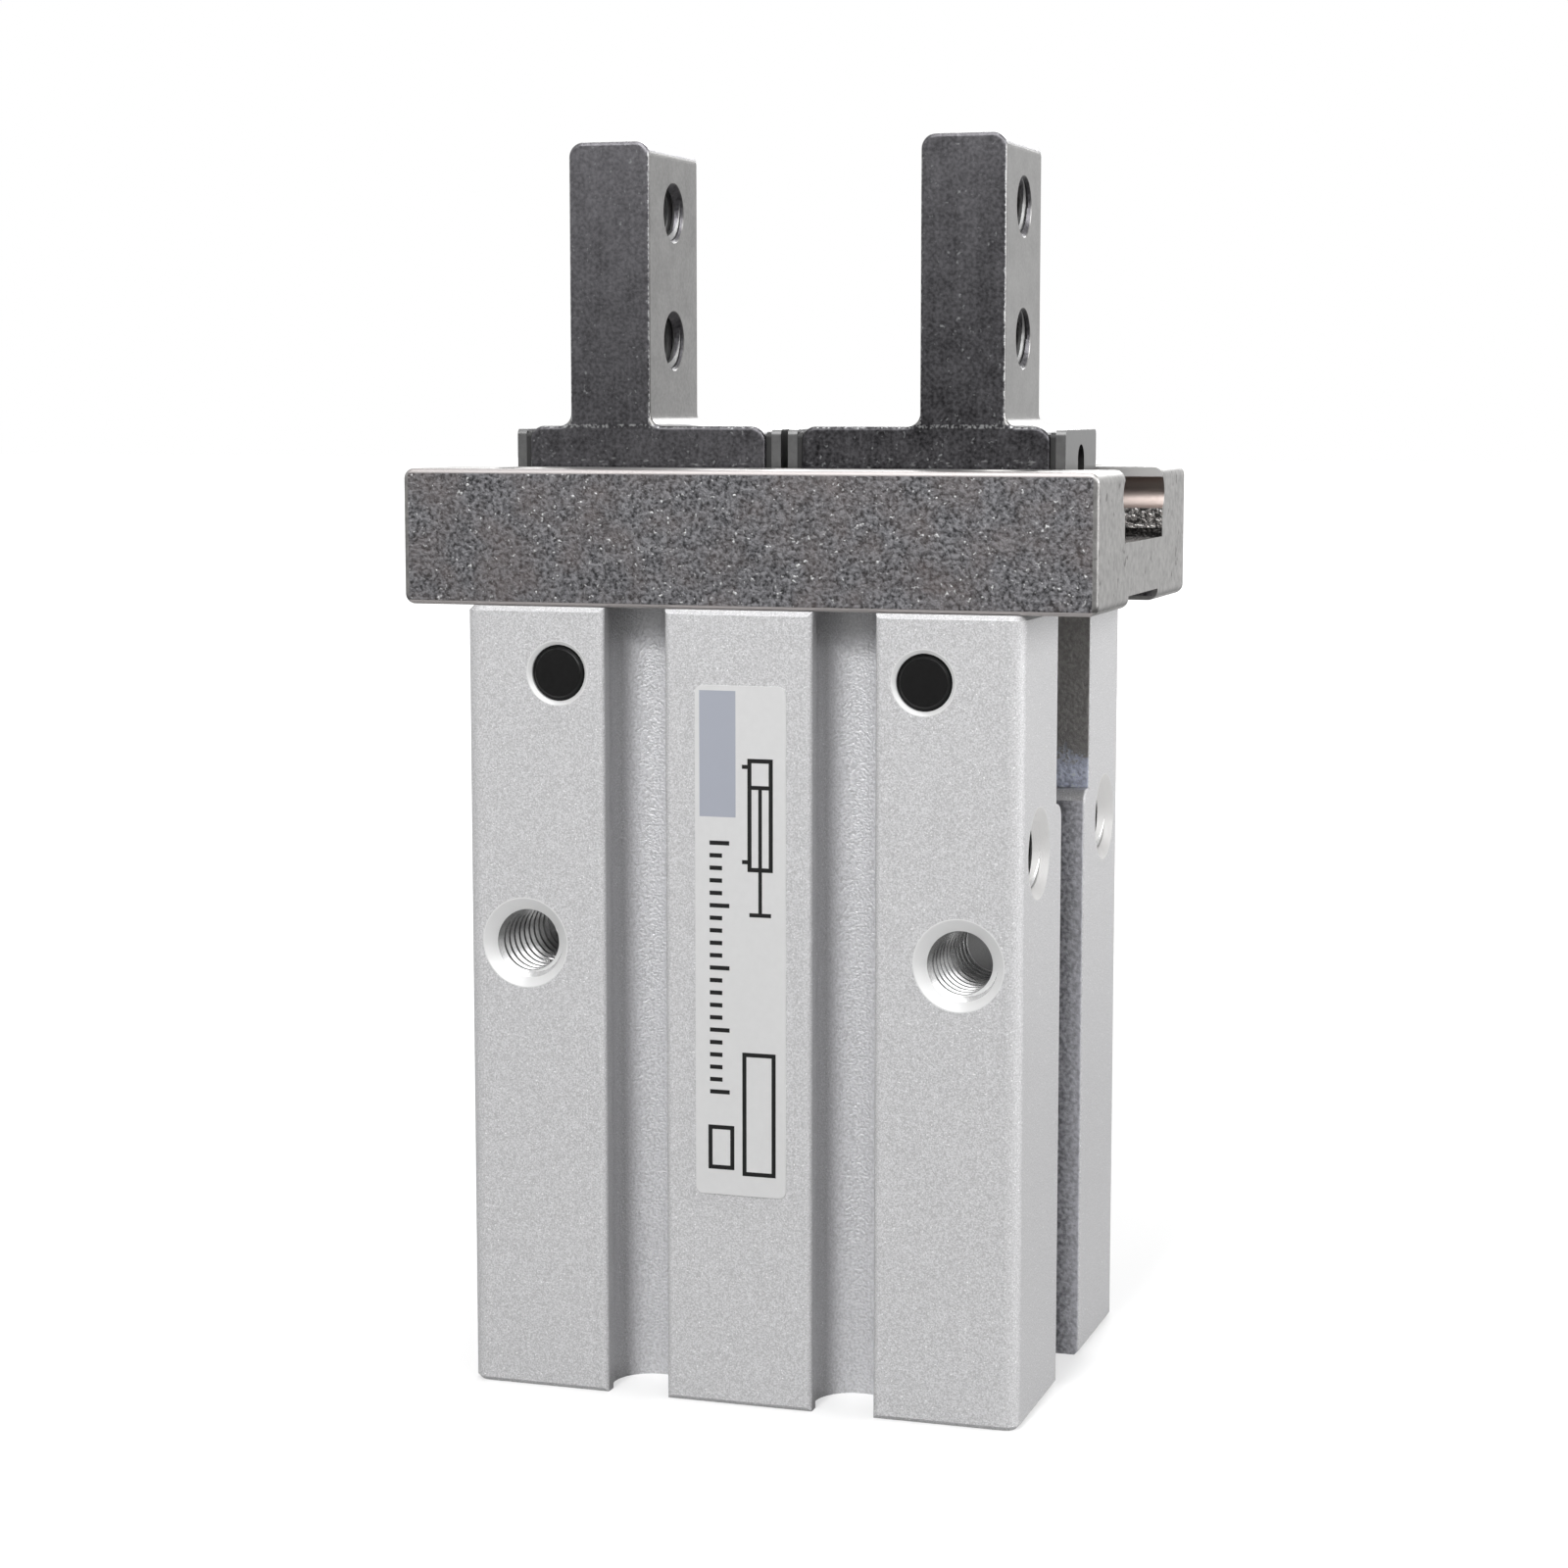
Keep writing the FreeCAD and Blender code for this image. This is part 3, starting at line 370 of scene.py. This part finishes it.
def groundSteel():
    finish = newFinish("ground_steel", Metallic=1.0)
    signedX, signedY, z = finish.millimetres()
    x, y = abs(signedX), abs(signedY)
    edge, footTop = fingerSteel["edge"], fingerSteel["footTop"]
    upright = z > footTop + edge

    def atSides(margin):
        return upright * ((x < fingerSteel["inner"] + margin) | (x > fingerSteel["outer"] - margin))

    flank = atSides(fingerSteel["flankEdge"])
    rims = (atSides(edge) | (1 - upright) * (z > footTop - edge)) * (y > fingerSteel["half"] - edge)
    kinds = ("grain", "drawn", "cloud", "spark", "scuff", "nick")
    grain, drawn, cloud, spark, scuff, nick = [finish.speckle(*fingerSteel[kind]) for kind in kinds]

    grainAndPaintedLight = fingerSteel["grainShare"] * grain + fingerSteel["drawnShare"] * drawn
    # painted reflection: the fronts lighten up their height and on the left finger
    grainAndPaintedLight = grainAndPaintedLight + fingerSteel["cloudShare"] * cloud + finish.spread(z, *fingerSteel["paintedDim"])
    grainAndPaintedLight = grainAndPaintedLight + fingerSteel["paintedLightLeft"] * (signedX < 0)
    front = finish.twoTone(grainAndPaintedLight, fingerSteel["tones"], *fingerSteel["tint"])
    front = finish.mix(spark, front, tint(*fingerSteel["sparkTone"]))
    # scuffs at the foot; on the rims, wear with a painted highlight
    wearAndEdgeHighlight = nick * rims | scuff * (z < fingerSteel["footLow"])
    front = finish.mix(wearAndEdgeHighlight, front, tint(*fingerSteel["wearAndEdgeHighlight"]))
    mottle = fingerSteel["flankGrain"] * grain + (1 - fingerSteel["flankGrain"]) * cloud
    side = finish.twoTone(mottle, fingerSteel["flank"], *fingerSteel["flankTint"])
    finish.paint(Base_Color=finish.mix(flank, front, side),
                 Roughness=weigh(fingerSteel["rough"], grain=grain * (1 - flank)))
    height = fingerSteel["grainRelief"] * grain + fingerSteel["drawnRelief"] * drawn
    finish.bump(height * (1 - fingerSteel["flankSmoothed"] * flank), fingerSteel["depth"])
    return finish.material


# Plain metals and rubbers: two tones, the grain between them, and the nodes that have them
plainFinishes = {
    "rolled_plate": {
        "metal": 1.0, "tones": (0.13, 0.21), "rough": 0.34, "grain": 3000, "depth": 0.003,
        "nodes": ("right_outer_plate", "right_inner_plate", "left_outer_plate", "left_inner_plate")},
    "turned_pin": {
        "metal": 1.0, "tones": (0.30, 0.42), "rough": 0.28, "grain": 5000, "depth": 0.002,
        "nodes": ("right_plate_pins", "left_plate_pins", "guide_dowels", "seal_retainer")},
    "black_oxide": {
        "metal": 0.0, "tones": (0.003, 0.006), "rough": 0.22, "grain": 4000, "depth": 0.001, "specular": 0.35,
        "nodes": ("right_lever_shaft", "left_lever_shaft", "guide_screws", "snap_ring")},
    "polished_ball": {
        "metal": 1.0, "tones": (0.62, 0.72), "rough": 0.08, "grain": 2500, "depth": 0.0004,
        "nodes": ("right_balls", "left_balls")},
    "sintered_lever": {
        "metal": 1.0, "tones": (0.18, 0.30), "rough": 0.42, "grain": 4500, "depth": 0.006,
        "nodes": ("right_lever", "left_lever")},
    "turned_piston": {
        "metal": 1.0, "tones": (0.52, 0.62), "rough": 0.26, "grain": 5000, "depth": 0.002,
        "nodes": ("piston",)},
    "turned_cap": {
        "metal": 1.0, "tones": (0.50, 0.60), "rough": 0.30, "grain": 5000, "depth": 0.003,
        "nodes": ("cap",)},
    "seal_rubber": {
        "metal": 0.0, "tones": (0.012, 0.022), "rough": 0.50, "grain": 3500, "depth": 0.003,
        "nodes": ("piston_seal", "rod_seal", "cap_oring", "right_scrapers", "left_scrapers")},
    "bonded_magnet": {
        "metal": 0.3, "tones": (0.035, 0.06), "rough": 0.45, "grain": 3500, "depth": 0.004,
        "nodes": ("piston_magnet",)},
    "amber_urethane": {
        "metal": 0.0, "tones": (0.16, 0.22), "tint": (1.6, 0.4), "rough": 0.35, "grain": 1500, "depth": 0.002,
        "nodes": ("piston_bumper", "cap_bumper")},
}
plainGrain = {"detail": 3, "rough": 0.15, "middle": 0.5}  # the grain sways the roughness about its middle


def plainFinish(name, look):
    finish = newFinish(name, Metallic=look["metal"], Specular_IOR_Level=look.get("specular", 0.5))
    grain = finish.noise(look["grain"], plainGrain["detail"])
    finish.paint(Base_Color=finish.twoTone(grain, look["tones"], *look.get("tint", (1.0, 1.0))),
                 Roughness=look["rough"] + plainGrain["rough"] * (grain - plainGrain["middle"]))
    finish.bump(grain, look["depth"])
    return finish.material


# Satin foil label: a blue-grey block, two empty frames, a scale of ticks and a plain drawing of a cylinder.
# Places are left, right, bottom and top, in shares of its size
labelPrint = {
    "foil": (0.68, 0.72), "block": (0.40, 0.42, 0.48, 1.0), "ink": 0.012, "metal": 0.35,
    "grain": (3000, 2), "rough": {"base": 0.36, "grain": 0.08}, "depth": 0.001,
    "blockBox": (0.05, 0.45, 0.745, 0.99),
    "frames": [(0.52, 0.89, 0.04, 0.285), (0.14, 0.43, 0.05, 0.138), (0.58, 0.86, 0.64, 0.86)],
    "bars": [(0.58, 0.86, 0.80, 0.808), (0.70, 0.74, 0.56, 0.80), (0.60, 0.84, 0.552, 0.56),
             (0.52, 0.58, 0.655, 0.663), (0.52, 0.58, 0.84, 0.848)],
    "ticks": {"left": 0.16, "right": 0.30, "longRight": 0.38, "low": 0.20, "step": 0.0245,
              "count": 21, "long": 5},  # every fifth one is long
    "line": 0.23 * millimetre,
}


def printedFoil():
    finish = newFinish("printed_foil", Metallic=labelPrint["metal"])
    low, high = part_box("label")
    x, _, z = finish.axes(finish.place)
    width, height = high.x - low.x, high.z - low.z
    across = (x - low.x) * (1 / width)
    up = (z - low.z) * (1 / height)

    def patch(left, right, bottom, top):
        middle, centre = (left + right) / 2, (bottom + top) / 2
        return (abs(across - middle) < (right - left) / 2) * (abs(up - centre) < (top - bottom) / 2)

    lineAcross, lineUp = labelPrint["line"] / width, labelPrint["line"] / height
    ink = 0.0
    for left, right, bottom, top in labelPrint["frames"]:
        inside = patch(left + lineAcross, right - lineAcross, bottom + lineUp, top - lineUp)
        ink = ink + (patch(left, right, bottom, top) - inside)
    for bar in labelPrint["bars"]:
        ink = ink + patch(*bar)
    ticks = labelPrint["ticks"]
    for number in range(ticks["count"]):
        bottom = ticks["low"] + number * ticks["step"]
        right = ticks["right"] if number % ticks["long"] else ticks["longRight"]
        ink = ink + patch(ticks["left"], right, bottom, bottom + lineUp)
    grain = finish.noise(*labelPrint["grain"])
    foil = finish.twoTone(grain, labelPrint["foil"])
    blocked = finish.mix(patch(*labelPrint["blockBox"]), foil, labelPrint["block"])
    finish.paint(Base_Color=finish.mix(ink, blocked, tint(labelPrint["ink"])),
                 Roughness=weigh(labelPrint["rough"], grain=grain))
    finish.bump(grain, labelPrint["depth"])
    return finish.material


blasted, ground = blastedAluminium(), groundSteel()
coat(blasted, "body")
coat(speckledSteel(), "guide")
coat(ground, "right_finger", "left_finger")
for name, look in plainFinishes.items():
    coat(plainFinish(name, look), *look["nodes"])
coat(printedFoil(), "label")
print("finishes on the frame's nodes")


# Screw threads, in millimetres: one ridge is drawn, wound along its hole, countersunk and copied to its like
bareMetal, bareSteel = tappedMetal("cut_aluminium"), tappedMetal("tapped_steel")
threads = {
    "m4": {"pitch": 0.7, "radius": 2.0, "height": 0.36, "mouth": 0.4, "steps": 40,
           "metal": bareMetal, "skin": blasted},
    "m3": {"pitch": 0.5, "radius": 1.5, "height": 0.26, "mouth": 0.15, "steps": 36,
           "metal": bareSteel, "skin": ground},
    "m5": {"pitch": 0.8, "radius": 2.5, "height": 0.42, "mouth": 0.3, "steps": 44,
           "metal": bareMetal, "skin": blasted},
}
ridge = {
    "root": 0.92, "crest": 0.34,  # shares of the pitch
    "bed": 0.02, "sliver": 0.001, "smooth": 30,
    "coneSides": 96, "coneAbove": 1.0,  # the cutting cone starts this far outside the mouth
}


def selectOnly(piece):
    bpy.ops.object.select_all(action="DESELECT")
    piece.select_set(True)
    bpy.context.view_layer.objects.active = piece


def editWhole():
    bpy.ops.object.mode_set(mode="EDIT")
    bpy.ops.mesh.select_all(action="SELECT")


def windThread(size, length, through):
    shape = threads[size]
    thickness = shape["height"] + ridge["bed"]
    turns = int(length / shape["pitch"])
    bpy.ops.object.select_all(action="DESELECT")
    bpy.ops.mesh.primitive_plane_add(size=1.0, rotation=(radians(90), 0, 0))
    thread = bpy.context.object
    thread.scale = (thickness, ridge["root"] * shape["pitch"], 1.0)
    bpy.ops.object.transform_apply(location=False, rotation=True, scale=True)
    bpy.ops.object.mode_set(mode="EDIT")
    bpy.ops.mesh.delete(type="ONLY_FACE")
    bpy.ops.mesh.select_mode(type="VERT")
    bpy.ops.mesh.select_all(action="DESELECT")
    bpy.ops.object.mode_set(mode="OBJECT")
    for corner in thread.data.vertices:
        corner.select = corner.co.x < 0  # the crest
    bpy.ops.object.mode_set(mode="EDIT")
    bpy.ops.transform.resize(value=(1, 1, ridge["crest"] / ridge["root"]))
    bpy.ops.mesh.select_all(action="SELECT")
    outwards = shape["radius"] + ridge["bed"] - thickness / 2
    bpy.ops.transform.translate(value=(outwards, 0, -turns * shape["pitch"]))
    bpy.ops.object.mode_set(mode="OBJECT")
    winding = thread.modifiers.new("winding", "SCREW")
    winding.screw_offset = shape["pitch"]
    winding.iterations = turns
    winding.steps = shape["steps"]
    winding.render_steps = shape["steps"]
    winding.angle = tau
    bpy.ops.object.modifier_apply(modifier="winding")
    thread.data.materials.append(shape["metal"])
    editWhole()
    bpy.ops.mesh.fill_holes(sides=4)  # the ridge's two ends
    bpy.ops.mesh.select_all(action="SELECT")
    bpy.ops.mesh.normals_make_consistent(inside=False)
    bpy.ops.object.mode_set(mode="OBJECT")
    countersink(thread, shape, 0.0, 0.0)
    if through:
        countersink(thread, shape, -length, radians(180))
    selectOnly(thread)
    editWhole()
    bpy.ops.mesh.remove_doubles(threshold=ridge["sliver"])
    bpy.ops.mesh.dissolve_degenerate(threshold=ridge["sliver"])
    bpy.ops.object.mode_set(mode="OBJECT")
    bpy.ops.object.shade_smooth_by_angle(angle=radians(ridge["smooth"]))
    return thread


def countersink(thread, shape, level, turn):
    wide = shape["radius"] + shape["mouth"] + ridge["coneAbove"]
    middle = (ridge["coneAbove"] - wide / 2) * cos(turn)
    bpy.ops.mesh.primitive_cone_add(vertices=ridge["coneSides"], radius1=0.0, radius2=wide, depth=wide,
                                    location=(0, 0, level + middle), rotation=(turn, 0, 0))
    cone = bpy.context.object
    cone.data.materials.append(shape["skin"])
    cut = thread.modifiers.new("countersink", "BOOLEAN")
    cut.operation = "DIFFERENCE"
    cut.material_mode = "TRANSFER"
    cut.object = cone
    bpy.context.view_layer.objects.active = thread
    bpy.ops.object.modifier_apply(modifier="countersink")
    bpy.data.objects.remove(cone)


def patternPlaces(mount):
    dims = mount["dims"]
    axis = Vector(mount["axis"])
    rows = [Vector(row) for row in ((1, 0, 0), (0, 1, 0), (0, 0, 1))]
    across = [row for row in rows if abs(axis.dot(row)) < 0.5]
    places = {}
    for signX in (-1, 1):
        for signY in (-1, 1):
            place = Vector(mount["pos_m"])
            place += across[0] * signX * dims.get("spacing_x_mm", 0) * millimetre / 2
            place += across[1] * signY * dims.get("spacing_y_mm", 0) * millimetre / 2
            places[tuple(round(value, 6) for value in place)] = place  # no spacing gives one place
    return [places[key] for key in sorted(places)]


def onFace(mount):
    axis, place = Vector(mount["axis"]), Vector(mount["pos_m"])
    low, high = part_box("body")
    face = max(axis.dot(low), axis.dot(high))
    return [place + axis * (face - axis.dot(place))]


# Each row: thread size, its length, whether it goes right through, its mounts, its body, and how its holes
# are found
threadRows = [
    ("m4", 8.9, False, ("front_screws", "rear_screws"), "housing", patternPlaces),
    ("m4", 7.8, False, ("base_screws",), "housing", patternPlaces),
    ("m4", 5.6, False, ("right_front_side_screw", "right_rear_side_screw", "left_front_side_screw",
                        "left_rear_side_screw"), "housing", onFace),
    ("m5", 2.9, False, ("lower_port", "upper_port"), "housing", onFace),
    ("m3", 4.66, True, ("right_jaw_screws",), "right_finger_slide_body", patternPlaces),
    ("m3", 4.66, True, ("left_jaw_screws",), "left_finger_slide_body", patternPlaces),
]
for size, length, through, names, body, finder in threadRows:
    pattern = windThread(size, length, through)
    for name in names:
        for number, place in enumerate(finder(mounts[name]), start=1):
            liner = pattern.copy()
            liner.data = pattern.data.copy()
            liner.name = "%s_thread_%d" % (name, number)
            bpy.context.collection.objects.link(liner)
            liner.rotation_mode = "QUATERNION"
            liner.rotation_quaternion = Vector(mounts[name]["axis"]).to_track_quat("Z", "Y")
            liner.scale = (millimetre, millimetre, millimetre)
            liner.location = place
            selectOnly(liner)
            bpy.ops.object.transform_apply(location=True, rotation=True, scale=True)
            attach(liner, body)
    bpy.data.objects.remove(pattern)
print("threads wound")


# Floor, grey card for the front's reflections, lamps and world, in metres, degrees and watts
floorLook = {
    "size": 6.0, "tone": 0.80, "rough": 0.9, "glow": 1.3,
    "fade": (0.10, 0.45, 0.35, 0.97),  # from and to this far out, and the share of glow at each
    "rear": (0.10, 0.22), "mirrored": (0.18, 0.9),  # what metal sees of the floor in front and at the rear
}
card = {
    "azimuth": -5, "elevation": 5, "distance": 0.5, "size": (1.8, 0.32),
    "tones": (0.35, 1.0), "lean": 0.8,  # from its lower edge to its upper, and more to one side
}
lamps = {
    "key": {"azimuth": -3, "elevation": 34, "distance": 2.0, "size": (0.20, 0.20), "watts": 26.0},
    "fill": {"azimuth": 95, "elevation": 18, "distance": 0.6, "size": (0.35, 0.35), "watts": 2.2},
    "glint": {"azimuth": 20, "elevation": 45, "distance": 0.5, "size": (0.8, 0.3), "watts": 2.4},
    "top": {"azimuth": 0, "elevation": 80, "distance": 0.6, "size": (0.40, 0.40), "watts": 1.5},
    "back": {"azimuth": 185, "elevation": 30, "distance": 0.6, "size": (0.35, 0.35), "watts": 2.0},
}
ambient = 0.14
aim = Vector((0, 0, 0.034))


def direction(look):
    turn, rise = radians(look["azimuth"]), radians(look["elevation"])
    return Vector((sin(turn) * cos(rise), -cos(turn) * cos(rise), sin(rise)))


bpy.ops.object.select_all(action="DESELECT")
bpy.ops.mesh.primitive_plane_add(size=floorLook["size"])
floor = bpy.context.object
floor.name = "floor"
floorSheet = newFinish("pale_floor", Roughness=floorLook["rough"], Base_Color=tint(floorLook["tone"]))
cameraRay = floorSheet.node("ShaderNodeLightPath", {}, {}, "Is Camera Ray")
glossyRay = floorSheet.node("ShaderNodeLightPath", {}, {}, "Is Glossy Ray")
away = floorSheet.node("ShaderNodeVectorMath", {"operation": "LENGTH"}, {0: floorSheet.place}, "Value")
share = floorSheet.spread(away, *floorLook["fade"])
rear = floorSheet.spread(floorSheet.axes(floorSheet.place)[1], *floorLook["rear"])
mirroredTone = floorSheet.twoTone(rear, floorLook["mirrored"])
glow = floorSheet.node("ShaderNodeEmission", {}, {"Strength": floorLook["glow"]})
mirrored = floorSheet.node("ShaderNodeEmission", {}, {"Color": mirroredTone})
lit = Wire(floorSheet, floorSheet.shader.outputs[0])
pale = floorSheet.node("ShaderNodeMixShader", {}, {0: cameraRay * share, 1: lit, 2: glow})
seenFloor = floorSheet.node("ShaderNodeMixShader", {}, {0: glossyRay, 1: pale, 2: mirrored})
floorSheet.feed(floorSheet.tree.nodes["Material Output"].inputs["Surface"], seenFloor)
floor.data.materials.append(floorSheet.material)

bpy.ops.mesh.primitive_plane_add(size=1.0)
flag = bpy.context.object
flag.name = "grey_card"
towards = direction(card)
flag.scale = (*card["size"], 1.0)
flag.rotation_mode = "QUATERNION"
flag.rotation_quaternion = (-towards).to_track_quat("Z", "Y")
flag.location = aim + towards * card["distance"]
cardSheet = newFinish("grey_card", Base_Color=(0, 0, 0, 1), Emission_Strength=1.0, Roughness=1.0)
across, upward, _ = cardSheet.axes(cardSheet.place)
rise = cardSheet.spread(upward, -0.5, 0.5) * (1 + card["lean"] * across)  # unscaled, it is 1 high
cardSheet.paint(Emission_Color=cardSheet.twoTone(rise, card["tones"]))
flag.data.materials.append(cardSheet.material)
flag.visible_camera = False
flag.visible_diffuse = False
flag.visible_shadow = False

for name, lamp in lamps.items():
    towards = direction(lamp)
    bpy.ops.object.light_add(type="AREA", location=aim + towards * lamp["distance"])
    light = bpy.context.object
    light.name = name + "_lamp"
    light.data.shape = "RECTANGLE"
    light.data.size, light.data.size_y = lamp["size"]
    light.data.energy = lamp["watts"]
    light.rotation_mode = "QUATERNION"
    light.rotation_quaternion = towards.to_track_quat("Z", "Y")
    light.visible_diffuse = name != "glint"  # this one only shines in the threads
    light.visible_glossy = name != "key"  # and this one only lights

scene = bpy.context.scene
scene.world = bpy.data.worlds.new("studio")
scene.world.use_nodes = True
sky = NodeSheet(scene.world.node_tree)
path = sky.node("ShaderNodeLightPath", {}, {}, "Is Camera Ray")
outputs = path.socket.node.outputs
seen = path | Wire(sky, outputs["Is Glossy Ray"]) | Wire(sky, outputs["Is Transmission Ray"])
background = scene.world.node_tree.nodes["Background"]
sky.feed(background.inputs["Color"], (1, 1, 1, 1))
sky.feed(background.inputs["Strength"], ambient + (1 - ambient) * seen)
scene.view_settings.view_transform = "Standard"
print("studio lit")


# Camera at the photograph's viewing angle
view = {
    "place": (0.053287, -0.169496, 0.053006), "down": 6.701, "turn": 17.824,
    "lens": 73.677, "sensor": 36.0, "nearest": 0.01,
}
bpy.ops.object.camera_add(location=view["place"],
                          rotation=(radians(90 - view["down"]), 0, radians(view["turn"])))
camera = bpy.context.object
camera.data.lens = view["lens"]
camera.data.sensor_width = view["sensor"]
camera.data.clip_start = view["nearest"]
scene.camera = camera
print("camera set")
